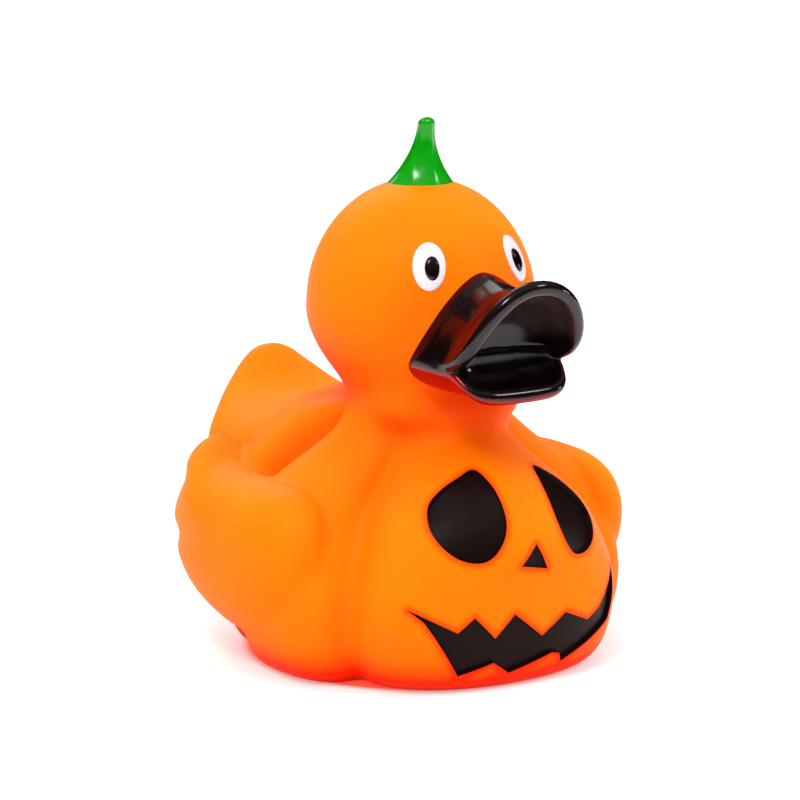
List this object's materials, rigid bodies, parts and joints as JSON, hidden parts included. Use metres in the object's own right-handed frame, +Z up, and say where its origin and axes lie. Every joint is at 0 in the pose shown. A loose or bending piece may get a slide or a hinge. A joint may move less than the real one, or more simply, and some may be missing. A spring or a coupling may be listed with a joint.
{
  "type": "rubber duck",
  "caption": "Hollow vinyl bath duck shaped as a pumpkin, with a carved face, folded wings, upturned tail, gaping black bill and a green stem.",
  "frame": {"origin": "middle of the toy's outline seen from above, on its flat base", "axes": "+Z up, the duck looks along -Y, and +X is the duck's left side"},
  "size_m": [0.0832, 0.0962, 0.0996],
  "materials": {
    "orange_vinyl": "matte",
    "black_gloss_paint": "gloss",
    "green_gloss_paint": "gloss",
    "black_satin_paint": "satin",
    "white_paint": "satin"
  },
  "bodies": {
    "root": {"duck_body": "orange_vinyl"}
  },
  "joints": []
}
